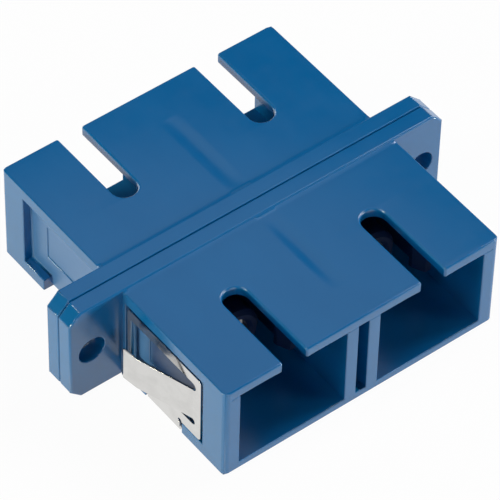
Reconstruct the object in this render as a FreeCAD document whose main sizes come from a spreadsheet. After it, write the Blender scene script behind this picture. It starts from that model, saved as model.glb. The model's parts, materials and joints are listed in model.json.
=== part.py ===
"""Duplex SC fibre adapter with a mounting flange and a sprung panel clip.

Two identical moulded housing halves meet back to back at the middle of the flange.
Between them they trap two pairs of sleeve holders, each pair round a split ceramic
sleeve that lines up two 2.5 mm ferrules.  A folded spring-steel clip wraps under the
front half and holds the adapter in a panel cut-out.

Frame, in millimetres: X runs along the flange, -Y points out of the front ports, Z is
up, and the origin lies on the seam between the halves, at the middle of the underside.
"""
import FreeCAD
import Part

import os

import Sketcher

SIZES = [
    # Housing moulding, used twice
    ("port_pitch", 12.7, "between the axes of the two ports"),
    ("port_width", 9.65, "inside one port"),
    ("port_height", 7.45, "inside one port"),
    ("side_wall", 1.375, "outer wall beside a port"),
    ("floor_wall", 0.7, "wall under the ports"),
    ("roof_wall", 0.85, "wall over the ports"),
    ("body_depth", 12.2, "flange face to port mouth"),
    ("body_edge", 0.18, "round on the outer edges"),
    ("flange_half", 1.43, "thickness of one half of the flange"),
    ("flange_ear", 4.7, "flange beyond the body's side"),
    ("flange_rise", 0.15, "flange top above the body top"),
    ("flange_top_corner", 1.0, "chamfer at the flange's upper corners"),
    ("flange_low_corner", 0.9, "chamfer at the flange's lower corners"),
    ("seam_bevel", 0.06, "bevel that leaves a fine line at the seam"),
    ("hole_edge", 1.95, "end of the flange to a screw hole's axis"),
    ("hole_radius", 1.15, "screw clearance hole"),
    ("peg_drop", 2.4, "screw hole's axis down to the locating peg"),
    ("peg_radius", 0.35, "locating peg on the seam face"),
    ("peg_length", 0.7, "locating peg"),
    ("peg_clear", 0.05, "round and beyond the locating peg"),
    ("web_gap", 0.95, "core slot between the two middle walls"),
    ("web_gap_depth", 9.4, "depth of that slot from the mouth"),
    ("keyway_width", 2.15, "slot in the roof for the plug's key"),
    ("keyway_reach", 6.8, "mouth to the centre of the keyway's round end"),
    ("keyway_corner", 0.2, "round where the keyway meets the mouth"),
    # Side recesses and the channel that carry the clip
    ("recess_start", 2.65, "mouth to the side recess"),
    ("recess_rib", 0.3, "side wall left between the recess and the flange"),
    ("recess_depth", 0.8, "into the side wall"),
    ("recess_round", 0.2, "round where the recess walls meet its floor"),
    ("recess_lip", 1.08, "body top down to the recess"),
    ("ledge_height", 1.12, "ledge left under the recess"),
    ("channel_start", 2.45, "front of the recess to the channel under the body"),
    ("channel_width", 4.35, "along the body"),
    ("panel_sink", 0.1, "shallow panel in the recess floor"),
    ("panel_start", 1.9, "front of the recess to the shallow panel"),
    ("panel_width", 5.43, "along the body"),
    ("panel_rise", 1.63, "ledge to the panel"),
    ("panel_drop", 1.92, "top of the recess down to the panel"),
    # Sleeve holders
    ("seat_side", 0.525, "holder's seat beyond each side of the port"),
    ("seat_rise", 0.225, "holder's seat above and below the port"),
    ("plate_thick", 1.3, "holder's plate, as deep as its seat"),
    ("plate_clear", 0.05, "round the plate in its seat"),
    ("barrel_wall", 0.74, "wall of the sleeve barrel"),
    ("barrel_lip", 0.84, "lip that keeps the sleeve in the barrel"),
    ("barrel_bevel", 0.3, "lead-in at the barrel's tip"),
    ("entry_clear", 0.2, "round the ferrule where it enters the lip"),
    ("hook_gap", 0.675, "side of the port to a latch arm"),
    ("hook_thick", 0.8, "latch arm"),
    ("hook_width", 3.0, "latch arm, top to bottom"),
    ("hook_beyond", 2.4, "tip of the barrel to the tip of a latch arm"),
    ("barb_depth", 0.5, "how far the latch's barb stands inward"),
    ("barb_ramp", 1.0, "length of the barb's lead-in ramp"),
    ("barb_flat", 0.35, "length of the barb's crest"),
    ("tip_taper", 0.25, "taper on the outside of the latch tip"),
    # Split sleeve
    ("sleeve_bore", 1.25, "inside radius, gripping a 2.5 mm ferrule"),
    ("sleeve_wall", 0.35, "thickness of the ceramic"),
    ("sleeve_length", 11.4, "overall"),
    ("sleeve_slit", 0.6, "width of the slit"),
    ("sleeve_bevel", 0.12, "bevel on the outer ends"),
    ("sleeve_clear", 0.06, "round and beyond the sleeve in its barrel"),
    # Panel clip
    ("clip_sheet", 0.16, "thickness of the spring steel"),
    ("clip_inset", 0.02, "body side in to the clip's outer face"),
    ("clip_bend", 0.06, "inner radius of the two bends"),
    ("strap_sink", 0.03, "underside up to the strap"),
    ("clip_end_gap", 0.25, "side plates to each end of the recess"),
    ("clip_low_gap", 0.04, "ledge to the side plates"),
    ("clip_top_gap", 0.23, "side plates to the top of the recess"),
    ("clip_corner", 0.35, "round on the plates' corners"),
    ("leg_clear", 0.25, "strap to the channel's sides"),
    ("relief_radius", 0.22, "relief holes where the strap meets the plates"),
    ("window_frame", 0.37, "strip of the plate left behind the window"),
    ("window_low", 1.11, "lower edge of the plate to the window"),
    ("window_high", 0.89, "upper edge of the plate to the window"),
    ("flap_root", 0.95, "front of the plate to the line where the flap bends out"),
    ("slit_low", 0.6, "window's lower edge to the flap"),
    ("slit_high", 0.75, "window's upper edge to the flap"),
    ("flap_angle", 18.0, "degrees that the flap stands out"),
    ("flap_tail", 1.35, "run after the flap's first return bend"),
    ("flap_tail_angle", 8.0, "degrees that this run stands out"),
    ("flap_curl", 0.35, "turned-in lip at the flap's end"),
    ("flap_curl_angle", -12.0, "degrees that the lip stands out"),
    ("flap_corner", 0.45, "round on the corners of the flap's free end"),
    ("panel_room", 2.0, "flap's end to the flange, where a panel fits"),
]

doc = FreeCAD.newDocument("duplex_sc_adapter")
sheet = doc.addObject("Spreadsheet::Sheet", "sizes")
for row, (alias, value, meaning) in enumerate(SIZES, start=1):
    sheet.set(f"A{row}", meaning)
    sheet.set(f"B{row}", str(value))
    sheet.setAlias(f"B{row}", alias)
doc.recompute()

# Places worked out from the sizes, as expressions
MOUTH = "(sizes.flange_half + sizes.body_depth)"
HALF_PITCH = "(sizes.port_pitch / 2)"
HALF_PORT = "(sizes.port_width / 2)"
PORT_TOP = "(sizes.floor_wall + sizes.port_height)"
PORT_AXIS = "(sizes.floor_wall + sizes.port_height / 2)"
BODY_TOP = f"({PORT_TOP} + sizes.roof_wall)"
HALF_BODY = f"({HALF_PITCH} + {HALF_PORT} + sizes.side_wall)"
HALF_FLANGE = f"({HALF_BODY} + sizes.flange_ear)"
HALF_HOLES = f"({HALF_FLANGE} - sizes.hole_edge)"
FLANGE_TOP = f"({BODY_TOP} + sizes.flange_rise)"
RECESS_FRONT = f"(-{MOUTH} + sizes.recess_start)"
RECESS_BACK = "(-sizes.flange_half - sizes.recess_rib)"
RECESS_TOP = f"({BODY_TOP} - sizes.recess_lip)"
CHANNEL_FRONT = f"({RECESS_FRONT} + sizes.channel_start)"
CHANNEL_BACK = f"({CHANNEL_FRONT} + sizes.channel_width)"
CHANNEL_DEPTH = "(sizes.strap_sink + sizes.clip_sheet)"
HALF_SEAT_WIDTH = f"({HALF_PORT} + sizes.seat_side)"
HALF_SEAT_HEIGHT = "(sizes.port_height / 2 + sizes.seat_rise)"
SLEEVE_RADIUS = "(sizes.sleeve_bore + sizes.sleeve_wall)"
BARREL_RADIUS = f"({SLEEVE_RADIUS} + sizes.sleeve_clear + sizes.barrel_wall)"
BARREL_TIP = "(sizes.sleeve_length / 2 + sizes.sleeve_clear + sizes.barrel_lip)"
CLIP_FACE = f"({HALF_BODY} - sizes.clip_inset)"
CLIP_FRONT = f"({RECESS_FRONT} + sizes.clip_end_gap)"
CLIP_BACK = f"({RECESS_BACK} - sizes.clip_end_gap)"
CLIP_LOW = "(sizes.ledge_height + sizes.clip_low_gap)"
CLIP_TOP = f"({RECESS_TOP} - sizes.clip_top_gap)"
FLAP_ROOT = f"({CLIP_FRONT} + sizes.flap_root)"
WINDOW_LOW = f"({CLIP_LOW} + sizes.window_low)"
WINDOW_TOP = f"({CLIP_TOP} - sizes.window_high)"
SPARE = "1"     # how far a cutting outline runs past the face it opens


def number(expression):
    """Value of an expression in the document's sizes, in millimetres or degrees."""
    return float(sheet.evalExpression(expression))


def sketch_on(body, name, role, offset="0"):
    """New sketch on one of the body's own origin planes, moved along the plane's normal.

    XZ_Plane draws X across and Z up and faces -Y; XY_Plane draws X and Y and faces +Z;
    YZ_Plane draws Y across and Z up and faces +X.
    """
    sketch = body.newObject("Sketcher::SketchObject", name)
    plane = [item for item in body.Origin.OriginFeatures if item.Role == role][0]
    sketch.AttachmentSupport = [(plane, "")]
    sketch.MapMode = "FlatFace"
    sketch.setExpression("AttachmentOffset.Base.z", offset)
    return sketch


def bind(sketch, kind, geometry, point, expression):
    """Adds one dimension to a sketch and binds it to an expression."""
    value = number(expression)
    if point is None:
        constraint = Sketcher.Constraint(kind, geometry, value)
    else:
        constraint = Sketcher.Constraint(kind, geometry, point, value)
    index = sketch.addConstraint(constraint)
    sketch.setExpression(f"Constraints[{index}]", expression)


def outline(sketch, corners):
    """Closed outline of straight lines whose corners are pairs of expressions."""
    first = sketch.GeometryCount
    places = [FreeCAD.Vector(number(across), number(up), 0) for across, up in corners]
    count = len(places)
    for index, start in enumerate(places):
        sketch.addGeometry(Part.LineSegment(start, places[(index + 1) % count]))
    for index in range(count):
        following = first + (index + 1) % count
        sketch.addConstraint(Sketcher.Constraint("Coincident", first + index, 2, following, 1))
    for index, (across, up) in enumerate(corners):
        bind(sketch, "DistanceX", first + index, 1, across)
        bind(sketch, "DistanceY", first + index, 1, up)


def rectangle(sketch, left, right, low, high):
    """Closed rectangle between four expressions."""
    outline(sketch, [(left, low), (right, low), (right, high), (left, high)])


def circle(sketch, across, up, radius):
    """Full circle whose centre and radius are expressions."""
    centre = FreeCAD.Vector(number(across), number(up), 0)
    geometry = sketch.addGeometry(
        Part.Circle(centre, FreeCAD.Vector(0, 0, 1), number(radius)))
    bind(sketch, "DistanceX", geometry, 3, across)
    bind(sketch, "DistanceY", geometry, 3, up)
    bind(sketch, "Radius", geometry, None, radius)


def pad(body, sketch, length, symmetric=False):
    """Adds material from a sketch along its normal, or equally both ways."""
    feature = body.newObject("PartDesign::Pad", sketch.Name + "_pad")
    feature.Profile = sketch
    feature.setExpression("Length", length)
    if symmetric:
        feature.SideType = "Symmetric"
    sketch.Visibility = False
    return feature


def pocket(body, sketch, depth, forward=False, symmetric=False):
    """Cuts from a sketch against its normal, or along it, and checks that it did cut."""
    doc.recompute()
    before = body.Shape.Volume
    feature = body.newObject("PartDesign::Pocket", sketch.Name + "_cut")
    feature.Profile = sketch
    feature.setExpression("Length", depth)
    feature.Reversed = forward
    if symmetric:
        feature.SideType = "Symmetric"
    sketch.Visibility = False
    doc.recompute()
    if body.Shape.Volume >= before:
        raise RuntimeError(f"{feature.Name} removes nothing from {body.Label}")
    return feature


def dress(body, kind, name, size, test):
    """Fillet or chamfer on the edges of the body's last feature that pass the test."""
    doc.recompute()
    base = body.Tip
    edges = [f"Edge{index}" for index, edge in enumerate(base.Shape.Edges, start=1)
             if test(edge)]
    if not edges:
        raise RuntimeError(f"{name} of {body.Label} finds no edge")
    feature = body.newObject(f"PartDesign::{kind}", name)
    feature.Base = (base, edges)
    feature.setExpression("Radius" if kind == "Fillet" else "Size", size)
    return feature


def near(value, target):
    """True where two lengths agree to a micron or so."""
    return abs(value - target) < 0.002


def lies_at(edge, x=None, y=None, z=None):
    """True where every point of an edge has the coordinates that are given."""
    box = edge.BoundBox
    spans = ((x, box.XMin, box.XMax), (y, box.YMin, box.YMax), (z, box.ZMin, box.ZMax))
    return all(place is None or (near(low, place) and near(high, place))
               for place, low, high in spans)


def new_body(label, turned=False, x="0", z="0"):
    """Empty body at a place of its own, facing forward or turned to the rear."""
    body = doc.addObject("PartDesign::Body", label)
    body.Label = label
    turn = 180 if turned else 0
    body.Placement = FreeCAD.Placement(
        FreeCAD.Vector(), FreeCAD.Rotation(FreeCAD.Vector(0, 0, 1), turn))
    body.setExpression("Placement.Base.x", x)
    body.setExpression("Placement.Base.z", z)
    return body


# ---------------------------------------------------------------- housing moulding

def add_flange(body):
    """Half of the flange, with chamfered corners, and the body's full block."""
    sketch = sketch_on(body, "flange", "XZ_Plane")
    top, low = "sizes.flange_top_corner", "sizes.flange_low_corner"
    outline(sketch, [
        (f"-{HALF_FLANGE} + {low}", "0"),
        (f"{HALF_FLANGE} - {low}", "0"),
        (HALF_FLANGE, low),
        (HALF_FLANGE, f"{FLANGE_TOP} - {top}"),
        (f"{HALF_FLANGE} - {top}", FLANGE_TOP),
        (f"-{HALF_FLANGE} + {top}", FLANGE_TOP),
        (f"-{HALF_FLANGE}", f"{FLANGE_TOP} - {top}"),
        (f"-{HALF_FLANGE}", low),
    ])
    pad(body, sketch, "sizes.flange_half")
    face = -number("sizes.flange_half")
    dress(body, "Fillet", "flange_edges", "sizes.body_edge",
          lambda edge: lies_at(edge, y=face))
    dress(body, "Chamfer", "seam_edges", "sizes.seam_bevel",
          lambda edge: lies_at(edge, y=0))
    sketch = sketch_on(body, "block", "XZ_Plane")
    rectangle(sketch, f"-{HALF_BODY}", HALF_BODY, "0", BODY_TOP)
    pad(body, sketch, MOUTH)


def cut_ports(body):
    """Two square ports right through, the slot between their walls and the keyways."""
    ports = sketch_on(body, "ports", "XZ_Plane", MOUTH)
    for side in ("-", ""):
        axis = f"{side}{HALF_PITCH}"
        rectangle(ports, f"{axis} - {HALF_PORT}", f"{axis} + {HALF_PORT}",
                  "sizes.floor_wall", PORT_TOP)
    pocket(body, ports, f"{MOUTH} + {SPARE}")

    gap = sketch_on(body, "web_gap", "XZ_Plane", MOUTH)
    rectangle(gap, "-sizes.web_gap / 2", "sizes.web_gap / 2", "sizes.floor_wall", PORT_TOP)
    pocket(body, gap, "sizes.web_gap_depth")

    end = f"-{MOUTH} + sizes.keyway_reach"
    slots = sketch_on(body, "keyways", "XY_Plane", BODY_TOP)
    rounds = sketch_on(body, "keyway_ends", "XY_Plane", BODY_TOP)
    half = "sizes.keyway_width / 2"
    for side in ("-", ""):
        axis = f"{side}{HALF_PITCH}"
        rectangle(slots, f"{axis} - {half}", f"{axis} + {half}", f"-{MOUTH} - {SPARE}", end)
        circle(rounds, axis, end, half)
    to_axis = f"{BODY_TOP} - {PORT_AXIS}"
    pocket(body, slots, to_axis)
    pocket(body, rounds, to_axis)


def round_housing(body):
    """Rounds the keyways' mouth corners, then every outer edge of the body."""
    mouth, top, half = -number(MOUTH), number(BODY_TOP), number(HALF_BODY)
    port_top, flange = number(PORT_TOP), -number("sizes.flange_half")
    dress(body, "Fillet", "keyway_corners", "sizes.keyway_corner",
          lambda edge: lies_at(edge, y=mouth) and near(edge.BoundBox.ZMin, port_top)
          and near(edge.BoundBox.ZMax, top))

    def outer(edge):
        box = edge.BoundBox
        if box.YMax > flange + 0.002 or lies_at(edge, y=flange):
            return False
        on_top = lies_at(edge, z=top)
        rim = lies_at(edge, y=mouth) and (
            lies_at(edge, z=0) or lies_at(edge, x=half) or lies_at(edge, x=-half))
        sill = lies_at(edge, z=0) and (lies_at(edge, x=half) or lies_at(edge, x=-half))
        return on_top or rim or sill

    dress(body, "Fillet", "outer_edges", "sizes.body_edge", outer)


def cut_side_recesses(body):
    """Recess in each side for the clip, the shallow panel in it, and the channel below."""
    front, back = number(RECESS_FRONT), number(RECESS_BACK)
    top, ledge = number(RECESS_TOP), number("sizes.ledge_height")
    for name, sign in (("left", "-"), ("right", "")):
        forward = name == "left"
        sketch = sketch_on(body, f"{name}_recess", "YZ_Plane", f"{sign}{HALF_BODY}")
        outline(sketch, [
            (RECESS_FRONT, "sizes.ledge_height"),
            (CHANNEL_FRONT, "sizes.ledge_height"),
            (CHANNEL_FRONT, f"-{SPARE}"),
            (CHANNEL_BACK, f"-{SPARE}"),
            (CHANNEL_BACK, "sizes.ledge_height"),
            (RECESS_BACK, "sizes.ledge_height"),
            (RECESS_BACK, RECESS_TOP),
            (RECESS_FRONT, RECESS_TOP),
        ])
        pocket(body, sketch, "sizes.recess_depth", forward=forward)
        floor = number(f"{sign}({HALF_BODY} - sizes.recess_depth)")
        dress(body, "Fillet", f"{name}_recess_rounds", "sizes.recess_round",
              lambda edge, place=floor: lies_at(edge, x=place) and (
                  lies_at(edge, y=front) or lies_at(edge, y=back)
                  or lies_at(edge, z=top) or lies_at(edge, z=ledge)))
        panel = sketch_on(body, f"{name}_panel", "YZ_Plane",
                          f"{sign}({HALF_BODY} - sizes.recess_depth)")
        start = f"({RECESS_FRONT} + sizes.panel_start)"
        rectangle(panel, start, f"{start} + sizes.panel_width",
                  "sizes.ledge_height + sizes.panel_rise", f"{RECESS_TOP} - sizes.panel_drop")
        pocket(body, panel, "sizes.panel_sink", forward=forward)
    channel = sketch_on(body, "channel", "XY_Plane")
    rectangle(channel, f"-{HALF_BODY} - {SPARE}", f"{HALF_BODY} + {SPARE}",
              CHANNEL_FRONT, CHANNEL_BACK)
    pocket(body, channel, CHANNEL_DEPTH, forward=True)


def cut_seats(body):
    """Seats for the sleeve holders' plates, screw holes, locating peg and its hole."""
    seats = sketch_on(body, "plate_seats", "XZ_Plane")
    for side in ("-", ""):
        axis = f"{side}{HALF_PITCH}"
        rectangle(seats, f"{axis} - {HALF_SEAT_WIDTH}", f"{axis} + {HALF_SEAT_WIDTH}",
                  f"{PORT_AXIS} - {HALF_SEAT_HEIGHT}", f"{PORT_AXIS} + {HALF_SEAT_HEIGHT}")
    pocket(body, seats, "sizes.plate_thick", forward=True)

    holes = sketch_on(body, "screw_holes", "XZ_Plane")
    middle = f"{BODY_TOP} / 2"
    for side in ("-", ""):
        circle(holes, f"{side}{HALF_HOLES}", middle, "sizes.hole_radius")
    pocket(body, holes, f"sizes.flange_half + {SPARE}", forward=True)

    low = f"{middle} - sizes.peg_drop"
    peg_hole = sketch_on(body, "peg_hole", "XZ_Plane")
    circle(peg_hole, f"-{HALF_HOLES}", low, "sizes.peg_radius + sizes.peg_clear")
    pocket(body, peg_hole, "sizes.peg_length + sizes.peg_clear", forward=True)
    peg = sketch_on(body, "peg", "XZ_Plane", "-sizes.peg_length")
    circle(peg, HALF_HOLES, low, "sizes.peg_radius")
    pad(body, peg, "sizes.peg_length + sizes.peg_clear")


def build_housing(label, turned):
    """One housing half; the rear half is the same moulding turned round."""
    body = new_body(label, turned)
    add_flange(body)
    cut_ports(body)
    round_housing(body)
    cut_side_recesses(body)
    cut_seats(body)
    return body


# ---------------------------------------------------------------- sleeve holders

def build_holder(label, side, turned):
    """Plate, barrel and two latch arms, moulded as one, for one end of one port."""
    body = new_body(label, turned, f"{side}{HALF_PITCH}", PORT_AXIS)
    plate = sketch_on(body, "plate", "XZ_Plane")
    wide = f"{HALF_SEAT_WIDTH} - sizes.plate_clear"
    tall = f"{HALF_SEAT_HEIGHT} - sizes.plate_clear"
    rectangle(plate, f"-({wide})", wide, f"-({tall})", tall)
    pad(body, plate, "sizes.plate_thick")

    barrel = sketch_on(body, "barrel", "XZ_Plane")
    circle(barrel, "0", "0", BARREL_RADIUS)
    pad(body, barrel, BARREL_TIP)

    outer = f"({HALF_PORT} - sizes.hook_gap)"
    inner = f"({outer} - sizes.hook_thick)"
    crest = f"({inner} - sizes.barb_depth)"
    tip = f"-({BARREL_TIP} + sizes.hook_beyond)"
    for name, sign in (("left", "-"), ("right", "")):
        arm = sketch_on(body, f"{name}_arm", "XY_Plane")
        outline(arm, [
            (f"{sign}{inner}", "0"),
            (f"{sign}{outer}", "0"),
            (f"{sign}{outer}", f"{tip} + sizes.barb_ramp"),
            (f"{sign}({outer} - sizes.tip_taper)", tip),
            (f"{sign}{inner}", tip),
            (f"{sign}{crest}", f"{tip} + sizes.barb_ramp"),
            (f"{sign}{crest}", f"{tip} + sizes.barb_ramp + sizes.barb_flat"),
            (f"{sign}{inner}", f"{tip} + sizes.barb_ramp + sizes.barb_flat"),
        ])
        pad(body, arm, "sizes.hook_width", symmetric=True)

    bore = sketch_on(body, "sleeve_seat", "XZ_Plane")
    circle(bore, "0", "0", f"{SLEEVE_RADIUS} + sizes.sleeve_clear")
    pocket(body, bore, "sizes.sleeve_length / 2 + sizes.sleeve_clear", forward=True)
    entry = sketch_on(body, "ferrule_entry", "XZ_Plane")
    circle(entry, "0", "0", "sizes.sleeve_bore + sizes.entry_clear")
    pocket(body, entry, f"{BARREL_TIP} + {SPARE}", forward=True)
    tip_place = -number(BARREL_TIP)
    dress(body, "Chamfer", "barrel_tip", "sizes.barrel_bevel",
          lambda edge: lies_at(edge, y=tip_place))
    return body


def build_sleeve(label, side):
    """Ceramic tube with one slit along its top, sprung onto both ferrules."""
    body = new_body(label, False, f"{side}{HALF_PITCH}", PORT_AXIS)
    ring = sketch_on(body, "ring", "XZ_Plane")
    circle(ring, "0", "0", SLEEVE_RADIUS)
    circle(ring, "0", "0", "sizes.sleeve_bore")
    pad(body, ring, "sizes.sleeve_length", symmetric=True)
    slit = sketch_on(body, "slit", "XZ_Plane")
    rectangle(slit, "-sizes.sleeve_slit / 2", "sizes.sleeve_slit / 2", "0",
              f"{SLEEVE_RADIUS} + {SPARE}")
    pocket(body, slit, f"sizes.sleeve_length + {SPARE}", symmetric=True)
    end, radius = number("sizes.sleeve_length / 2"), number(SLEEVE_RADIUS)

    def outer_end(edge):
        box = edge.BoundBox
        at_end = lies_at(edge, y=end) or lies_at(edge, y=-end)
        return at_end and near(box.ZMin, -radius)

    dress(body, "Chamfer", "outer_ends", "sizes.sleeve_bevel", outer_end)
    return body


# ---------------------------------------------------------------- panel clip

def strip_outline(sketch, sign, start, legs):
    """Plan outline of a bent strip of the clip's sheet.

    start is the (x, y) of its outer face at the root, for the side at +X; each leg is a
    (length, angle) pair of expressions, the angle being how far the leg leans outward
    from the +Y direction.
    """
    sheet_thick = "sizes.clip_sheet"
    x, y = start
    outer, inner = [], []
    previous = "0"
    for length, angle in legs + [(None, legs[-1][1])]:
        middle = f"(({previous} + {angle}) / 2)"
        outer.append((x, y))
        inner.append((f"{x} - {sheet_thick} * cos({middle})",
                      f"{y} + {sheet_thick} * sin({middle})"))
        previous = angle
        if length is not None:
            x = f"{x} + {length} * sin({angle})"
            y = f"{y} + {length} * cos({angle})"
    corners = outer + inner[::-1]
    outline(sketch, [(f"{sign}({across})", up) for across, up in corners])


def add_flaps(body):
    """Spring flap that leans out of each side plate, with rounded corners at its end."""
    low = f"({WINDOW_LOW} + sizes.slit_low)"
    high = f"({WINDOW_TOP} - sizes.slit_high)"
    bends = "sizes.flap_tail * cos(sizes.flap_tail_angle)"
    bends += " + sizes.flap_curl * cos(sizes.flap_curl_angle)"
    end = "(-sizes.flange_half - sizes.panel_room)"
    run = f"(({end} - {FLAP_ROOT} - ({bends})) / cos(sizes.flap_angle))"
    legs = [
        ("sizes.window_frame", "0"),
        (run, "sizes.flap_angle"),
        ("sizes.flap_tail", "sizes.flap_tail_angle"),
        ("sizes.flap_curl", "sizes.flap_curl_angle"),
    ]
    for name, sign in (("left", "-"), ("right", "")):
        flap = sketch_on(body, f"{name}_flap", "XY_Plane", low)
        strip_outline(flap, sign, (CLIP_FACE, f"{FLAP_ROOT} - sizes.window_frame"), legs)
        pad(body, flap, f"{high} - {low}")
    face, free_end, thick = number(CLIP_FACE), number(end), number("sizes.clip_sheet")

    def at_corner(edge):
        box = edge.BoundBox
        through_sheet = box.ZLength < thick / 2 < box.XLength
        at_end = abs(box.Center.y - free_end) < thick
        return through_sheet and at_end and abs(box.Center.x) > face

    dress(body, "Fillet", "flap_corners", "sizes.flap_corner", at_corner)


def build_clip(label):
    """Steel strap folded into a U, with a windowed plate and a sprung flap each side."""
    body = new_body(label)
    inside = f"({CLIP_FACE} - sizes.clip_sheet)"
    channel = sketch_on(body, "channel_profile", "XZ_Plane", f"-{CLIP_BACK}")
    outline(channel, [
        (f"-{CLIP_FACE}", "sizes.strap_sink"),
        (CLIP_FACE, "sizes.strap_sink"),
        (CLIP_FACE, CLIP_TOP),
        (inside, CLIP_TOP),
        (inside, CHANNEL_DEPTH),
        (f"-{inside}", CHANNEL_DEPTH),
        (f"-{inside}", CLIP_TOP),
        (f"-{CLIP_FACE}", CLIP_TOP),
    ])
    pad(body, channel, f"{CLIP_BACK} - {CLIP_FRONT}")
    face, web, low, high = (number(CLIP_FACE), number(inside), number("sizes.strap_sink"),
                            number(CHANNEL_DEPTH))
    dress(body, "Fillet", "inner_bends", "sizes.clip_bend",
          lambda edge: lies_at(edge, z=high) and (lies_at(edge, x=web) or lies_at(edge, x=-web)))
    dress(body, "Fillet", "outer_bends", "sizes.clip_bend + sizes.clip_sheet",
          lambda edge: lies_at(edge, z=low) and (lies_at(edge, x=face) or lies_at(edge, x=-face)))

    # The strap is narrower than the plates: cut away below them, before and behind it
    leg_front = f"({CHANNEL_FRONT} + sizes.leg_clear)"
    leg_back = f"({CHANNEL_BACK} - sizes.leg_clear)"
    waste = sketch_on(body, "below_plates", "YZ_Plane")
    rectangle(waste, f"{CLIP_FRONT} - {SPARE}", leg_front, f"-{SPARE}", CLIP_LOW)
    rectangle(waste, leg_back, f"{CLIP_BACK} + {SPARE}", f"-{SPARE}", CLIP_LOW)
    across = f"2 * ({CLIP_FACE} + {SPARE})"
    pocket(body, waste, across, symmetric=True)

    # Corners of the side plates
    ends = (number(CLIP_FRONT), number(CLIP_BACK))
    levels = (number(CLIP_LOW), number(CLIP_TOP))
    dress(body, "Fillet", "plate_corners", "sizes.clip_corner",
          lambda edge: any(lies_at(edge, y=place, z=level)
                           for place in ends for level in levels))

    # Window whose slits run on beside the flap's root and end in half rounds
    window = sketch_on(body, "window", "YZ_Plane")
    rectangle(window, FLAP_ROOT, f"{CLIP_BACK} - sizes.window_frame", WINDOW_LOW, WINDOW_TOP)
    pocket(body, window, across, symmetric=True)
    rounds = sketch_on(body, "slit_ends", "YZ_Plane")
    circle(rounds, FLAP_ROOT, f"{WINDOW_LOW} + sizes.slit_low / 2", "sizes.slit_low / 2")
    circle(rounds, FLAP_ROOT, f"{WINDOW_TOP} - sizes.slit_high / 2", "sizes.slit_high / 2")
    circle(rounds, leg_front, CLIP_LOW, "sizes.relief_radius")
    circle(rounds, leg_back, CLIP_LOW, "sizes.relief_radius")
    pocket(body, rounds, across, symmetric=True)
    add_flaps(body)
    return body


def check_document():
    """Stops if any object failed to recompute."""
    doc.recompute()
    for item in doc.Objects:
        if "Invalid" in item.State or "Error" in item.State:
            raise RuntimeError(f"{item.Label} failed: {item.State}")


def main():
    """Builds every piece, checks it and writes one STEP file for each."""
    pieces = [build_housing("front_housing", False), build_housing("rear_housing", True)]
    for side_name, side in (("left", "-"), ("right", "")):
        pieces.append(build_holder(f"front_{side_name}_holder", side, False))
        pieces.append(build_holder(f"rear_{side_name}_holder", side, True))
        pieces.append(build_sleeve(f"{side_name}_sleeve", side))
    pieces.append(build_clip("panel_clip"))
    check_document()
    for piece in pieces:
        shape = piece.Shape
        if shape.isNull() or not shape.isValid() or len(shape.Solids) != 1:
            raise RuntimeError(f"{piece.Label} is not one valid solid")
    os.makedirs("parts", exist_ok=True)
    for piece in pieces:
        piece.Shape.exportStep(f"parts/{piece.Label}.step")
        print(f"{piece.Label}: {piece.Shape.Volume:.2f} mm3")


main()
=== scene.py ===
"""Duplex SC fibre adapter: the finished looks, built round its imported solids.

The two moulded housings and the folded spring clip are worked up from their solids into
skins with softened edges and the marks that moulding and blanking leave. The ferrule
holders and split sleeves keep their solids. Every piece gets a procedural finish.
"""

import json
import logging
import math
from dataclasses import dataclass
from enum import Enum

import bmesh
import bpy
from mathutils import Matrix, Vector

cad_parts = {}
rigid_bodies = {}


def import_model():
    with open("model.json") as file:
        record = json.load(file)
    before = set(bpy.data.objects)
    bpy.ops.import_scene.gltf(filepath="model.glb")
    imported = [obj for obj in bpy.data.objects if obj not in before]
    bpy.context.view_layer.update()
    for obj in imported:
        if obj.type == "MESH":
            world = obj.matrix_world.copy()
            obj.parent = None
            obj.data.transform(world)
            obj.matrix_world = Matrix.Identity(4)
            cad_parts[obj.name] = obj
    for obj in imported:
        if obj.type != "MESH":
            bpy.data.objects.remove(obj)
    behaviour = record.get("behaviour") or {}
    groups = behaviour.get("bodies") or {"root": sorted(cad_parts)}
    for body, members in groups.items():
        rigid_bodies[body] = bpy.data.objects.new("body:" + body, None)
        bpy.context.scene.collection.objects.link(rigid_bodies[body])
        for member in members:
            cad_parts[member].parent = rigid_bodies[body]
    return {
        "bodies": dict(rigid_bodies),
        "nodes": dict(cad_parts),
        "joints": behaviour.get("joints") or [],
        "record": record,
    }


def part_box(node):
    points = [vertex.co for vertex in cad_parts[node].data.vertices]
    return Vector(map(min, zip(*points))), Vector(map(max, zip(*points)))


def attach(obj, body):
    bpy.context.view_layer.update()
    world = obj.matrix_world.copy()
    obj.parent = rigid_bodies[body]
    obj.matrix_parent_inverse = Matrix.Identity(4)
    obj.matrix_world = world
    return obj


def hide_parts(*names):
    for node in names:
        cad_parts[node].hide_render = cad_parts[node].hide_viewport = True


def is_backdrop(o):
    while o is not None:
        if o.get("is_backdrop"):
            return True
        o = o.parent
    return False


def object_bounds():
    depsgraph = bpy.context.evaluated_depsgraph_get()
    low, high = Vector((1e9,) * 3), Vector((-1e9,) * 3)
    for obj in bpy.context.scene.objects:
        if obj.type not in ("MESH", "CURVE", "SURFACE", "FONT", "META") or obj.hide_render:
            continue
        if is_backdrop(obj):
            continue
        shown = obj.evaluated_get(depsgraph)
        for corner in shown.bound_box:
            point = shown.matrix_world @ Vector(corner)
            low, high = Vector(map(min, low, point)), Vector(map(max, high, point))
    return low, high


MM = 0.001
"""One millimetre in the scene's metres."""

BODY = "root"
"""The one body that every piece rides on."""

WELD = 1e-4 * MM
"""Points nearer to each other than this are one point."""

TOUCH = 0.001 * MM
"""Places nearer to each other than this count as the same place."""

HAIR = 0.001
"""A share of a size that is too small to count."""

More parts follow.
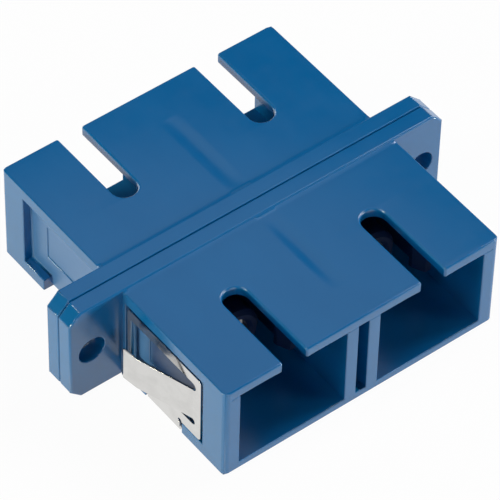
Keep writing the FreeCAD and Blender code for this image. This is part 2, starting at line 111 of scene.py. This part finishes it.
SQUARE = 0.999
"""The share of its normal along an axis from which a face is square to that axis."""

LEVEL = 0.01
"""The share of its normal along an axis up to which a face lies along that axis."""

CORE = (0.3, 0.7)
"""The range that holds most of a noise's values."""

ACROSS, ALONG, UPWARD = Vector((1, 0, 0)), Vector((0, 1, 0)), Vector((0, 0, 1))
"""The directions of X, Y and Z."""

log = logging.getLogger("adapter")

Colour = tuple[float, float, float]
Point = tuple[float, float, float]
Pair = tuple[float, float]
Socket = bpy.types.NodeSocket
Faces = list[bmesh.types.BMFace]


class End(Enum):
    """The two ends of the adapter, by the sign of Y that they face."""

    FRONT = -1
    REAR = 1


class Bank(Enum):
    """The two ports side by side, by the sign of X that they lie on."""

    LEFT = -1
    RIGHT = 1


class Slot(Enum):
    """The record's material slots of the pieces that are worked up."""

    HOUSING = "housing_blue"
    CLIP = "clip_steel"


class Graph:
    """A small builder for one shader node tree."""

    def __init__(self, tree: bpy.types.NodeTree) -> None:
        """Takes over a node tree and empties it."""
        self.tree = tree
        tree.nodes.clear()

    def add(self, kind: str, inputs: dict | None = None, **settings: object) -> bpy.types.Node:
        """Adds one node.

        Args:
            kind: The node's type name, without "ShaderNode".
            inputs: Socket values by socket name or index; another node's socket is linked.
            settings: Values for the node's own properties.

        Returns:
            The new node.
        """
        node = self.tree.nodes.new("ShaderNode" + kind)
        for key, value in settings.items():
            setattr(node, key, value)
        for key, value in (inputs or {}).items():
            if isinstance(value, Socket):
                self.tree.links.new(value, node.inputs[key])
            else:
                node.inputs[key].default_value = value
        return node

    def maths(self, operation: str, *values: float | Socket) -> Socket:
        """Adds one sum on plain numbers or sockets, and gives its result."""
        return self.add("Math", dict(enumerate(values)), operation=operation).outputs[0]

    def part(self, vector: Socket, axis: int) -> Socket:
        """Takes one of the three numbers of a vector, 0 for X, 1 for Y and 2 for Z."""
        return self.add("SeparateXYZ", {0: vector}).outputs[axis]

    def cloud(self, size: float, detail: float = 2.0, stretch: Point = (1.0, 1.0, 1.0)) -> Socket:
        """Adds a noise in object space.

        Args:
            size: The size of its patches in metres.
            detail: How many finer layers it has.
            stretch: How many times the patches are shortened along each axis.

        Returns:
            The noise's value, about 0.5 on average.
        """
        place = self.add("TexCoord").outputs["Object"]
        spread = self.add("Mapping", {"Vector": place, "Scale": stretch}).outputs[0]
        inputs = {"Vector": spread, "Scale": 1.0 / size, "Detail": detail}
        return self.add("TexNoise", inputs).outputs[0]

    def remap(self, value: Socket, span: Pair, result: Pair = (0.0, 1.0)) -> Socket:
        """Maps a value from one range to another, held inside it.

        Args:
            value: The value to map.
            span: The values that become the lowest and the highest result.
            result: The lowest and the highest result.

        Returns:
            The mapped value.
        """
        (low, high), (least, most) = span, result
        limits = {"From Min": low, "From Max": high, "To Min": least, "To Max": most}
        return self.add("MapRange", {"Value": value, **limits}).outputs[0]

    def blend(self, factor: Socket, first: Colour | Socket, second: Colour) -> Socket:
        """Mixes two linear colours.

        Args:
            factor: 0 for the first and 1 for the second.
            first: The first colour, plain or from a socket.
            second: The second colour.

        Returns:
            The mixed colour.
        """
        start = first if isinstance(first, Socket) else (*first, 1.0)
        inputs = {0: factor, 6: start, 7: (*second, 1.0)}
        return self.add("Mix", inputs, data_type="RGBA").outputs[2]

    def bumps(self, height: Socket, depth: float, before: Socket | None = None) -> Socket:
        """Adds a bump of a given depth.

        Args:
            height: The height, from 0 to 1.
            depth: What a height of 1 stands for, in metres.
            before: A normal that this bump is laid over.

        Returns:
            The bumped normal.
        """
        inputs = {"Height": height, "Distance": depth, "Strength": 1.0}
        if before is not None:
            inputs["Normal"] = before
        return self.add("Bump", inputs).outputs[0]


@dataclass(frozen=True)
class Finish:
    """What every finish shares: a named material that is built from nodes.

    Attributes:
        name: The material's name.
    """

    name: str

    def make(self) -> bpy.types.Material:
        """Builds the material.

        Returns:
            The new material.
        """
        material = bpy.data.materials.new(self.name)
        material.use_nodes = True
        graph = Graph(material.node_tree)
        graph.add("OutputMaterial", {"Surface": self.surface(graph)})
        return material

    def surface(self, graph: Graph) -> Socket:
        """Builds the finish's own shader, which each kind of finish brings."""
        raise NotImplementedError(self.name)


@dataclass(frozen=True)
class MouldedPlastic(Finish):
    """Satin moulded thermoplastic with faint flow clouds and a spark-eroded grain.

    Attributes:
        colour: The plain colour, linear.
        flow: The colour of the flow clouds, linear.
        gloss: The middle roughness.
        sheen: How far the roughness drifts either way.
        swirl: The size of the patches in which it drifts, in metres.
        ior: The index of refraction.
        flow_size: The size of the flow clouds in metres.
        flow_stretch: How many times they are shortened along each axis.
        flow_span: The noise values at which a flow cloud begins and is full.
        wave: The size of the slow unevenness in metres.
        wave_depth: Its depth in metres.
        grain: The size of the surface grain in metres.
        depth: The depth of the grain in metres.
        inset: How far from the middle the side recesses' floors lie along X, in metres.
        band: How far either side of that still counts.
        upright: The share of its normal along X from which a face may be such a floor.
        matt: The roughness of those floors.
        pale: A paler blue painted on those floors, a painted sheen that stands in for the bright
            reflection they show, linear.
    """

    colour: Colour
    flow: Colour
    gloss: float = 0.22
    sheen: float = 0.03
    swirl: float = 1.4 * MM
    ior: float = 1.68
    flow_size: float = 3.2 * MM
    flow_stretch: Point = (1.0, 0.45, 1.0)
    flow_span: Pair = (0.35, 0.7)
    wave: float = 2.4 * MM
    wave_depth: float = 0.003 * MM
    grain: float = 0.12 * MM
    depth: float = 0.0004 * MM
    inset: float = 0.0
    band: float = 0.12 * MM
    upright: float = 0.9
    matt: float = 0.38
    # Painted sheen: a paler blue for the recess floors, not the plastic's own colour.
    pale: Colour = (0.06, 0.175, 0.385)

    def recess(self, graph: Graph) -> Socket:
        """Marks the floors of the side recesses.

        Args:
            graph: The material's node tree.

        Returns:
            1 on those floors, which get the rougher finish and the painted sheen, and 0
            elsewhere.
        """
        across = graph.part(graph.add("TexCoord").outputs["Object"], 0)
        facing = graph.part(graph.add("TexCoord").outputs["Normal"], 0)
        level = graph.maths("COMPARE", graph.maths("ABSOLUTE", across), self.inset, self.band)
        square = graph.maths("GREATER_THAN", graph.maths("ABSOLUTE", facing), self.upright)
        return graph.maths("MULTIPLY", level, square)

    def surface(self, graph: Graph) -> Socket:
        """Builds the plastic's shader.

        Args:
            graph: The material's node tree.

        Returns:
            The shader's socket.
        """
        floors = self.recess(graph)
        clouds = graph.cloud(self.flow_size, detail=3.0, stretch=self.flow_stretch)
        body = graph.blend(graph.remap(clouds, self.flow_span), self.colour, self.flow)
        drift = (self.gloss - self.sheen, self.gloss + self.sheen)
        shine = graph.remap(graph.cloud(self.swirl), CORE, drift)
        rough = graph.add("Mix", {0: floors, 2: shine, 3: self.matt}, data_type="FLOAT")
        waves = graph.bumps(graph.cloud(self.wave, detail=1.0), self.wave_depth)
        grain = graph.cloud(self.grain, detail=3.0)
        return graph.add("BsdfPrincipled", {
            # The recess floors get the paler blue, a painted sheen.
            "Base Color": graph.blend(floors, body, self.pale),
            "Roughness": rough.outputs[0],
            "Normal": graph.bumps(grain, self.depth, before=waves),
            "IOR": self.ior,
        }).outputs[0]


@dataclass(frozen=True)
class SpringSteel(Finish):
    """Bright rolled stainless strip, with fine rolling lines and a soft reflection.

    Attributes:
        colour: The metal's plain colour, linear.
        stain: The colour of its duller patches, linear.
        patch: The size of those patches in metres.
        patch_span: The noise values at which a patch begins and is full.
        patch_share: How far a full patch goes towards the stain.
        line: The spacing of the rolling lines in metres.
        line_stretch: How many times they are shortened along each axis.
        line_depth: Their depth in metres.
        gloss: The lowest and the highest roughness.
    """

    colour: Colour = (0.66, 0.655, 0.64)
    stain: Colour = (0.58, 0.575, 0.56)
    patch: float = 1.1 * MM
    patch_span: Pair = (0.4, 0.7)
    patch_share: float = 0.6
    line: float = 0.05 * MM
    line_stretch: Point = (1.0, 0.06, 1.0)
    line_depth: float = 0.0008 * MM
    gloss: Pair = (0.09, 0.17)

    def surface(self, graph: Graph) -> Socket:
        """Builds the steel's shader.

        Args:
            graph: The material's node tree.

        Returns:
            The shader's socket.
        """
        patches = graph.cloud(self.patch, detail=3.0)
        share = graph.remap(patches, self.patch_span, (0.0, self.patch_share))
        lines = graph.cloud(self.line, stretch=self.line_stretch)
        return graph.add("BsdfPrincipled", {
            "Base Color": graph.blend(share, self.colour, self.stain),
            "Roughness": graph.remap(lines, CORE, self.gloss),
            "Normal": graph.bumps(lines, self.line_depth),
            "Metallic": 1.0,
        }).outputs[0]


@dataclass(frozen=True)
class Zirconia(Finish):
    """Lapped white zirconia with a faint warm cloud and a glassy polish.

    Attributes:
        colour: The plain colour, linear.
        warm: The colour of its clouds, linear.
        warm_size: The size of the clouds in metres.
        warm_span: The noise values at which a cloud begins and is full.
        lap: The spacing of the lapping lines in metres.
        lap_stretch: How many times they are shortened along each axis.
        lap_depth: Their depth in metres.
        gloss: The lowest and the highest roughness.
        ior: The index of refraction.
    """

    colour: Colour = (0.86, 0.85, 0.82)
    warm: Colour = (0.80, 0.77, 0.71)
    warm_size: float = 1.5 * MM
    warm_span: Pair = (0.4, 0.7)
    lap: float = 0.04 * MM
    lap_stretch: Point = (1.0, 0.1, 1.0)
    lap_depth: float = 0.0004 * MM
    gloss: Pair = (0.10, 0.18)
    ior: float = 2.1

    def surface(self, graph: Graph) -> Socket:
        """Builds the ceramic's shader.

        Args:
            graph: The material's node tree.

        Returns:
            The shader's socket.
        """
        clouds = graph.remap(graph.cloud(self.warm_size), self.warm_span)
        lapping = graph.cloud(self.lap, detail=1.0, stretch=self.lap_stretch)
        return graph.add("BsdfPrincipled", {
            "Base Color": graph.blend(clouds, self.colour, self.warm),
            "Roughness": graph.remap(lapping, CORE, self.gloss),
            "Normal": graph.bumps(lapping, self.lap_depth),
            "IOR": self.ior,
        }).outputs[0]


@dataclass(frozen=True)
class WhitePaper(Finish):
    """A pale matt floor that shows white and keeps a soft shadow.

    Attributes:
        colour: The paper's colour, linear.
        hollow: The colour that the hollows between its fibres tend to, linear.
        fibre: The size of the fibres in metres.
        fibre_share: The least and the most of the paper's colour between them.
        glow: The share of plain white that a camera, mirror or glass ray sees in it.
    """

    colour: Colour = (0.86, 0.86, 0.86)
    hollow: Colour = (0.8, 0.8, 0.8)
    fibre: float = 0.4 * MM
    fibre_share: Pair = (0.96, 1.0)
    glow: float = 0.96

    def surface(self, graph: Graph) -> Socket:
        """Builds the paper's shader.

        Args:
            graph: The material's node tree.

        Returns:
            The shader's socket.
        """
        path = graph.add("LightPath").outputs
        seen = graph.maths("MAXIMUM", path["Is Camera Ray"], path["Is Glossy Ray"])
        clear = graph.maths("MAXIMUM", seen, path["Is Transmission Ray"])
        fibres = graph.remap(graph.cloud(self.fibre), CORE, self.fibre_share)
        matt = graph.add("BsdfDiffuse", {"Color": graph.blend(fibres, self.hollow, self.colour)})
        white = graph.add("Emission", {"Color": (1.0, 1.0, 1.0, 1.0), "Strength": 1.0})
        share = graph.maths("MULTIPLY", clear, self.glow)
        shaders = {0: share, 1: matt.outputs[0], 2: white.outputs[0]}
        return graph.add("MixShader", shaders).outputs[0]


class Skin:
    """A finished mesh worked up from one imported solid.

    Attributes:
        mesh: The mesh that is worked on.
        low: The lowest corner of the solid's box.
        high: The highest corner of the solid's box.
        joined: The angle up to which faces are joined into one flat face, in degrees.
        shortest: The shortest edge that is rounded, in metres.
        crease: The angle from which an edge is shaded as one, in degrees.
    """

    joined: float = 0.5
    shortest: float = 0.03 * MM
    crease: float = 50.0

    def __init__(self, node: bpy.types.Object) -> None:
        """Copies a solid's mesh and joins its triangles into whole flat faces.

        Args:
            node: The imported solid's object.
        """
        self.mesh = bmesh.new()
        self.mesh.from_mesh(node.data)
        self.low = [min(v.co[axis] for v in self.mesh.verts) for axis in range(3)]
        self.high = [max(v.co[axis] for v in self.mesh.verts) for axis in range(3)]
        bmesh.ops.remove_doubles(self.mesh, verts=self.mesh.verts, dist=WELD)
        bmesh.ops.dissolve_limit(
            self.mesh, angle_limit=math.radians(self.joined),
            verts=self.mesh.verts, edges=self.mesh.edges,
        )

    def cut(self, faces: Faces, place: Vector, normal: Vector) -> Faces:
        """Cuts faces along a plane, which parts each into two but leaves no gap.

        Args:
            faces: The faces to cut.
            place: A point on the plane.
            normal: The plane's direction.

        Returns:
            What the faces are cut into.
        """
        edges = list({e for f in faces for e in f.edges})
        points = list({v for f in faces for v in f.verts})
        result = bmesh.ops.bisect_plane(
            self.mesh, geom=faces + edges + points, plane_co=place, plane_no=normal, dist=WELD
        )
        return [g for g in result["geom"] if isinstance(g, bmesh.types.BMFace)]

    def soften(self, width: float, sharper_than: float = 40.0, segments: int = 2) -> None:
        """Rounds the sharp edges, and keeps the result inside the solid's own box.

        Args:
            width: The width of the rounding in metres.
            sharper_than: The least angle between two faces that is rounded, in degrees.
            segments: How many strips the rounding has.
        """
        least = math.radians(sharper_than)
        sharp = [
            e for e in self.mesh.edges
            if len(e.link_faces) == 2 and e.is_convex and e.calc_face_angle() > least
            and e.calc_length() > self.shortest
        ]
        bmesh.ops.bevel(
            self.mesh, geom=sharp, offset=width, offset_type="OFFSET", segments=segments,
            profile=0.5, affect="EDGES", clamp_overlap=False, loop_slide=True,
        )
        for vertex in self.mesh.verts:
            for axis in range(3):
                vertex.co[axis] = min(max(vertex.co[axis], self.low[axis]), self.high[axis])

    def round_corner(self, corner: Vector, old: float, radius: float, lines: int = 3) -> None:
        """Eases an upright corner of the body to a wider round, by drawing its walls inwards.

        Args:
            corner: Where the corner's two walls would meet, at any height.
            old: The radius of the round that it has.
            radius: The radius that it gets.
            lines: How many cuts each wall gets to carry the curve.
        """
        sides = Vector((math.copysign(radius, corner.x), math.copysign(radius, corner.y), 0))
        centre = corner - sides
        flat = 1 - old / radius

        def share(vertex: bmesh.types.BMVert) -> Pair:
            """How far a vertex lies from the new centre along X and Y, in new radii."""
            return (vertex.co.x - centre.x) / sides.x, (vertex.co.y - centre.y) / sides.y

        for line in range(lines):
            place = centre + sides * flat * line / lines
            for normal in (ACROSS, ALONG):
                zone = [f for f in self.mesh.faces if any(min(share(v)) > -HAIR for v in f.verts)]
                self.cut(zone, place, normal)
        for vertex in self.mesh.verts:
            across, along = share(vertex)
            if min(across, along) <= HAIR:
                continue
            least, most = sorted((across, along))
            reach = math.hypot(across, along)
            if least <= flat * most:
                scale = most / reach
            else:
                forward = flat * (across + along) / reach
                rest = forward ** 2 - 2 * flat ** 2 + (old / radius) ** 2
                scale = 1 / (forward + math.sqrt(rest))
            vertex.co.x = centre.x + (vertex.co.x - centre.x) * scale
            vertex.co.y = centre.y + (vertex.co.y - centre.y) * scale
        self.mesh.normal_update()

    def score(self, level: float, mouth: float, ends: float, width: float, depth: float) -> None:
        """Scores a fine level line across the face round the ports.

        Args:
            level: The line's height in metres.
            mouth: The face's place along Y.
            ends: How far from the middle the line runs along X, in metres.
            width: The line's width in metres.
            depth: The line's depth in metres.
        """
        cuts = [(UPWARD * (level + width * step), UPWARD) for step in (-0.5, 0, 0.5)]
        cuts += [(ACROSS * (bank.value * ends), ACROSS) for bank in Bank]
        for place, normal in cuts:
            zone = [
                f for f in self.mesh.faces
                if abs(f.normal.y) > SQUARE and abs(f.calc_center_median().y - mouth) < TOUCH
            ]
            self.cut(zone, place, normal)
        inward = -math.copysign(depth, mouth)
        for vertex in self.mesh.verts:
            on_line = abs(vertex.co.z - level) < TOUCH and abs(vertex.co.y - mouth) < TOUCH
            slanting = any(LEVEL < abs(f.normal.y) < SQUARE for f in vertex.link_faces)
            if on_line and not slanting:
                vertex.co.y += inward
        self.mesh.normal_update()

    def deepen_seam(self, reach: float, depth: float, slant: Pair = (0.3, 0.95)) -> None:
        """Cuts the fine groove along the seam deeper, so that it holds a shadow.

        Args:
            reach: How far the groove's bevel reaches from the seam, in metres.
            depth: How much deeper the groove gets, in metres.
            slant: The least and the most of its normal that such a bevel has along Y.
        """
        inward = {}
        for face in self.mesh.faces:
            slanting = slant[0] < abs(face.normal.y) < slant[1]
            if slanting and all(abs(v.co.y) < reach for v in face.verts):
                push = Vector((face.normal.x, 0, face.normal.z)).normalized()
                for vertex in face.verts:
                    if abs(vertex.co.y) < TOUCH:
                        inward[vertex] = inward.get(vertex, Vector()) + push
        for vertex, push in inward.items():
            vertex.co -= push.normalized() * depth
        self.mesh.normal_update()

    def dish(
        self, start: Vector, end: Vector, half_width: float, depth: float, step: float,
        blunt: float = 0.7,
    ) -> None:
        """Sinks a soft trough into the flat top face that lies under a line.

        Args:
            start: One end of the trough's line, on the face.
            end: The other end, in line with the first along Y.
            half_width: Half the trough's width in metres.
            depth: The trough's depth in metres.
            step: The spacing of the grid that carries it, in metres.
            blunt: How steep the trough's ends are, less for steeper.
        """
        tops = [
            f for f in self.mesh.faces
            if f.normal.z > SQUARE and abs(f.calc_center_median().z - start.z) < TOUCH
            and min(v.co.y for v in f.verts) < start.y and max(v.co.y for v in f.verts) > end.y
        ]
        length = end.y - start.y
        rows = math.ceil(length / step)
        columns = math.ceil(2 * half_width / step)
        cuts = [(ALONG * (start.y + length * i / rows), ALONG) for i in range(rows + 1)]
        cuts += [
            (ACROSS * (start.x - half_width + 2 * half_width * i / columns), ACROSS)
            for i in range(columns + 1)
        ]
        for place, normal in cuts:
            tops = self.cut(tops, place, normal)
        for vertex in {v for f in tops for v in f.verts}:
            across = (vertex.co.x - start.x) / half_width
            along = (vertex.co.y - start.y) / length
            if abs(across) < 1 and 0 < along < 1:
                sideways = math.cos(across * math.pi / 2) ** 2
                lengthways = math.sin(along * math.pi) ** blunt
                vertex.co.z -= depth * sideways * lengthways
        self.mesh.normal_update()

    def place(
        self, name: str, slot: Slot, finish: bpy.types.Material, *nodes: str
    ) -> bpy.types.Object:
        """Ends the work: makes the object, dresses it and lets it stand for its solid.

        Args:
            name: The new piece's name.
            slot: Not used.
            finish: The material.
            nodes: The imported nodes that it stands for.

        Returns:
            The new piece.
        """
        data = bpy.data.meshes.new(name)
        self.mesh.to_mesh(data)
        self.mesh.free()
        for face in data.polygons:
            face.use_smooth = True
        data.set_sharp_from_angle(angle=math.radians(self.crease))
        data.materials.append(finish)
        piece = put(name, data)
        weighted = piece.modifiers.new("even_shading", "WEIGHTED_NORMAL")
        weighted.keep_sharp = True
        weighted.weight = 100
        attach(piece, BODY)
        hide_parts(*nodes)
        log.info("piece %s: %d faces", name, len(data.polygons))
        return piece


@dataclass(frozen=True)
class Walls:
    """Where the main faces of a housing lie, in metres from the middle and the floor.

    Attributes:
        mouth: The face round the ports, along Y.
        side: The body's side walls, along X.
        flange: The flange's outer face, along Y.
        top: The height of the body's top face.
        ceiling: The height of the ports' upper wall.
        corner: The radius of the body's upright corners.
    """

    mouth: float
    side: float
    flange: float
    top: float
    ceiling: float
    corner: float


@dataclass
class Housing:
    """One moulded half of the adapter.

    Attributes:
        end: Which way its ports face.
        edge: The rounding that the mould leaves on a sharp edge, in metres.
        corner: The round on the body's upright corners.
        seam_reach: A little more than the bevel at the seam.
        seam_depth: How much deeper the groove at the seam is cut.
        witness: The width of the line that the mould's core leaves round the ports.
        sink_side: How far the shrink trough over the web between the ports lies to the right.
        sink_width: Half the width of that trough.
        sink_depth: The depth of that trough.
        sink_margin: How far the trough stays from the mouth.
        sink_root: How far the trough stays from the flange.
        sink_grid: The spacing of the grid that carries it.
        nearby: How near the mouth a point belongs to it, and how far past the side wall a
            point belongs to the flange.
        digits: The decimals of a metre to which the recess floors' place is told apart.
    """

    end: End
    edge: float = 0.08 * MM
    corner: float = 0.45 * MM
    seam_reach: float = 0.07 * MM
    seam_depth: float = 0.15 * MM
    witness: float = 0.12 * MM
    sink_side: float = 0.4 * MM
    sink_width: float = 1.0 * MM
    sink_depth: float = 0.10 * MM
    sink_margin: float = 3.2 * MM
    sink_root: float = 0.4 * MM
    sink_grid: float = 0.2 * MM
    nearby: float = 1 * MM
    digits: int = 5

    @property
    def node(self) -> str:
        """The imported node's name."""
        return self.end.name.lower() + "_housing"

    def recess_floor(self, frame: dict) -> float:
        """Finds how far from the middle the floors of the side recesses lie.

        Args:
            frame: The loaded frame.

        Returns:
            The distance along X in metres.
        """
        outward = {
            round(abs(f.center.x), self.digits) for f in frame["nodes"][self.node].data.polygons
            if abs(f.normal.x) > SQUARE and f.normal.x * f.center.x > 0
        }
        _flange_end, _body_side, floor = sorted(outward, reverse=True)[:3]
        return floor

    def measure(self, skin: Skin) -> Walls:
        """Reads the places of the main faces from the solid.

        Args:
            skin: The solid's mesh, before it is worked on.

        Returns:
            Where the faces lie.
        """
        low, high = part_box(self.node)
        points = [v.co for v in skin.mesh.verts]
        mouth = max(abs(low.y), abs(high.y))
        front = [p for p in points if abs(p.y) > mouth - self.nearby]
        side = max(abs(p.x) for p in front)
        top = max(p.z for p in front)
        return Walls(
            mouth=mouth,
            side=side,
            flange=max(abs(p.y) for p in points if abs(p.x) > side + self.nearby),
            top=top,
            ceiling=min(p.z for p in front if p.z > top / 2 and abs(p.y) > mouth - TOUCH),
            corner=mouth - max(abs(p.y) for p in front if abs(p.x) > side - TOUCH),
        )

    def build(self, frame: dict, finish: bpy.types.Material) -> bpy.types.Object:
        """Works the housing's solid up into a finished moulding.

        Args:
            frame: The loaded frame.
            finish: The blue plastic.

        Returns:
            The finished housing.
        """
        skin = Skin(frame["nodes"][self.node])
        walls = self.measure(skin)
        outward = self.end.value
        for bank in Bank:
            corner = Vector((bank.value * walls.side, outward * walls.mouth, 0))
            skin.round_corner(corner, walls.corner, self.corner)
        skin.deepen_seam(self.seam_reach, self.seam_depth)
        ends = walls.side - self.corner - self.witness
        skin.score(walls.ceiling, outward * walls.mouth, ends, self.witness, self.witness / 2)
        root, tip = walls.flange + self.sink_root, walls.mouth - self.sink_margin
        near, far = sorted((outward * root, outward * tip))
        skin.dish(
            Vector((self.sink_side, near, walls.top)), Vector((self.sink_side, far, walls.top)),
            self.sink_width, self.sink_depth, self.sink_grid,
        )
        skin.soften(self.edge)
        return skin.place(self.end.name.lower() + "_moulding", Slot.HOUSING, finish, self.node)


@dataclass
class PanelClip:
    """The folded spring strip that holds the adapter in its panel.

    Attributes:
        edge: The rounding that blanking leaves on the strip's edges, in metres.
    """

    edge: float = 0.008 * MM

    def build(self, frame: dict, finish: bpy.types.Material) -> bpy.types.Object:
        """Works the clip's solid up into a finished strip.

        Args:
            frame: The loaded frame.
            finish: The bright steel.

        Returns:
            The finished clip.
        """
        skin = Skin(frame["nodes"]["panel_clip"])
        skin.soften(self.edge, sharper_than=60.0, segments=1)
        return skin.place("spring_strip", Slot.CLIP, finish, "panel_clip")


@dataclass
class Inner:
    """The holders and sleeves inside the ports, which keep their solids."""

    def dress(self, frame: dict, holder: bpy.types.Material, sleeve: bpy.types.Material) -> None:
        """Gives the inner solids their finishes.

        Args:
            frame: The loaded frame.
            holder: The holders' plastic: navy, deepened to near-black as painted shade for the
                deep ports.
            sleeve: The white ceramic.
        """
        for bank in Bank:
            self.coat(frame, f"{bank.name.lower()}_sleeve", sleeve)
            for end in End:
                self.coat(frame, f"{end.name.lower()}_{bank.name.lower()}_holder", holder)

    def coat(self, frame: dict, node: str, finish: bpy.types.Material) -> None:
        """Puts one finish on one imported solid.

        Args:
            frame: The loaded frame.
            node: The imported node's name.
            finish: The material.
        """
        for place in frame["nodes"][node].material_slots:
            place.material = finish
        log.info("piece %s: %s", node, finish.name)


@dataclass(frozen=True)
class Lamp:
    """One soft oval lamp.

    Attributes:
        name: The lamp's name.
        spot: Where it hangs, in metres.
        size: Its width and height in metres.
        power: Its power in watts.
        colour: The tint of its light.
    """

    name: str
    spot: Point
    size: Pair
    power: float
    colour: Colour = (1.0, 1.0, 1.0)

    def hang(self, middle: Vector) -> None:
        """Hangs the lamp and turns it to the adapter.

        Args:
            middle: The middle of the adapter's box.
        """
        data = bpy.data.lights.new(self.name, "AREA")
        data.shape, data.energy, data.color = "ELLIPSE", self.power, self.colour
        data.size, data.size_y = self.size
        lamp = put(self.name, data)
        lamp.location = self.spot
        lamp.rotation_mode = "QUATERNION"
        lamp.rotation_quaternion = (middle - Vector(self.spot)).to_track_quat("-Z", "Y")
        lamp.visible_camera = False


@dataclass
class Studio:
    """The pale floor, the soft light and the camera.

    Attributes:
        azimuth: The camera's place round the adapter, in degrees from the front towards +X.
        elevation: The camera's height above the horizon, in degrees.
        roll: How far the camera leans clockwise, in degrees.
        distance: From the adapter's middle to the camera.
        right: How far the camera stands to its own right of the middle.
        up: How far the camera stands above the middle in its own view.
        lens: The focal length in millimetres.
        sensor: The width of the film that it is for, in millimetres.
        sight: The nearest and the farthest that the camera sees, in metres.
        floor: The floor's radius in metres.
        floor_sides: How many straight sides its edge has.
        wall: The light from the room at the horizon, linear.
        ceiling: The light from the room overhead, linear.
        wall_top: How high the walls reach, from 0 at the horizon to 1 overhead.
        lamps: The soft lamps. The two high ones stay clear of where the front edges mirror
            them into the camera.
    """

    azimuth: float = -38.722
    elevation: float = 48.232
    roll: float = 1.5225
    distance: float = 303.76 * MM
    right: float = 0.158 * MM
    up: float = -0.4935 * MM
    lens: float = 295.44
    sensor: float = 36.0
    sight: Pair = (0.01, 10.0)
    floor: float = 1.5
    floor_sides: int = 96
    wall: Colour = (0.24, 0.24, 0.24)
    ceiling: Colour = (0.015, 0.015, 0.018)
    wall_top: float = 0.35
    lamps: tuple[Lamp, ...] = (
        Lamp("right_softbox", (0.46, 0.0, 0.46), (0.32, 0.32), 2.3, (0.97, 0.97, 1.03)),
        Lamp("left_high_softbox", (-0.418, 0.0, 0.498), (0.32, 0.32), 1.0, (0.97, 0.97, 1.03)),
        Lamp("left_low_softbox", (-0.644, 0.045, 0.079), (0.24, 0.13), 2.6, (1.0, 0.99, 0.74)),
        Lamp("front_low_softbox", (0.472, -0.44, 0.079), (0.24, 0.13), 2.25, (1.0, 1.0, 0.90)),
        Lamp("front_fill", (-0.131, -0.617, 0.157), (0.30, 0.20), 0.52),
        Lamp("rear_fill", (-0.09, 0.637, 0.09), (0.40, 0.13), 0.9),
        Lamp("ceiling_panel", (0.0065, 0.0135, 0.059), (0.0625, 0.0625), 0.0042),
    )

    def axes(self) -> tuple[Vector, Vector, Vector]:
        """Works out the camera's right, up and backward directions.

        Returns:
            The three unit vectors.
        """
        turn, rise, lean = (math.radians(v) for v in (self.azimuth, self.elevation, self.roll))
        away = math.cos(rise)
        back = Vector((math.sin(turn) * away, -math.cos(turn) * away, math.sin(rise)))
        level = UPWARD.cross(back).normalized()
        upright = back.cross(level)
        right = math.cos(lean) * level + math.sin(lean) * upright
        return right, back.cross(right), back

    def place_camera(self, middle: Vector) -> None:
        """Stands the camera.

        Args:
            middle: The middle of the adapter's box.
        """
        right, up, back = self.axes()
        data = bpy.data.cameras.new("camera")
        data.lens, data.sensor_width = self.lens, self.sensor
        data.clip_start, data.clip_end = self.sight
        camera = put("camera", data)
        turn = Matrix((right, up, back)).transposed().to_4x4()
        spot = middle + self.right * right + self.up * up + self.distance * back
        camera.matrix_world = Matrix.Translation(spot) @ turn
        bpy.context.scene.camera = camera

    def lay_floor(self) -> None:
        """Lays the pale floor under the adapter."""
        mesh = bmesh.new()
        bmesh.ops.create_circle(
            mesh, cap_ends=True, radius=self.floor, segments=self.floor_sides
        )
        data = bpy.data.meshes.new("floor")
        mesh.to_mesh(data)
        mesh.free()
        data.materials.append(WhitePaper("floor_paper").make())
        floor = put("floor", data)
        floor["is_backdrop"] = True

    def set_sky(self) -> None:
        """Fills the room with a dim light from its walls, and shows it white to the camera."""
        world = bpy.data.worlds.new("light_tent")
        world.use_nodes = True
        graph = Graph(world.node_tree)
        height = graph.part(graph.add("TexCoord").outputs["Generated"], 2)
        room = graph.blend(graph.remap(height, (0.0, self.wall_top)), self.wall, self.ceiling)
        seen = graph.add("LightPath").outputs["Is Camera Ray"]
        tint = graph.blend(seen, room, (1.0, 1.0, 1.0))
        sky = graph.add("Background", {"Color": tint, "Strength": 1.0})
        graph.add("OutputWorld", {"Surface": sky.outputs[0]})
        bpy.context.scene.world = world

    def build(self, middle: Vector) -> None:
        """Sets the whole studio up.

        Args:
            middle: The middle of the adapter's box.
        """
        self.place_camera(middle)
        self.lay_floor()
        for lamp in self.lamps:
            lamp.hang(middle)
        self.set_sky()
        bpy.context.scene.view_settings.view_transform = "Standard"
        log.info("studio: floor, %d lamps, sky and camera", len(self.lamps))


def put(name: str, data: bpy.types.ID) -> bpy.types.Object:
    """Puts a new object in the scene.

    Args:
        name: The object's name.
        data: The mesh, lamp or camera that it shows.

    Returns:
        The new object.
    """
    thing = bpy.data.objects.new(name, data)
    bpy.context.scene.collection.objects.link(thing)
    return thing


def clear_scene() -> None:
    """Removes whatever the empty scene starts with."""
    for thing in list(bpy.data.objects):
        bpy.data.objects.remove(thing, do_unlink=True)


def main() -> None:
    """Builds the adapter and the studio round the middle of the imported solids' box."""
    logging.basicConfig(level=logging.INFO, format="%(name)s: %(message)s")
    clear_scene()
    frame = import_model()
    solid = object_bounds()
    floor = Housing(End.FRONT).recess_floor(frame)
    blue = MouldedPlastic(
        "moulded_blue", colour=(0.001, 0.122, 0.330), flow=(0.002, 0.130, 0.346), inset=floor
    ).make()
    # Navy deepened to near-black: painted shade for the holders deep in the ports.
    navy_and_port_shade = MouldedPlastic(
        "moulded_navy_and_port_shade", colour=(0.001, 0.009, 0.040), flow=(0.002, 0.012, 0.050),
        gloss=0.5, ior=1.4,
    ).make()
    steel = SpringSteel("rolled_steel").make()
    ceramic = Zirconia("lapped_zirconia").make()
    for end in End:
        Housing(end).build(frame, blue)
    PanelClip().build(frame, steel)
    Inner().dress(frame, navy_and_port_shade, ceramic)
    Studio().build((solid[0] + solid[1]) / 2)


if __name__ == "__main__":
    main()
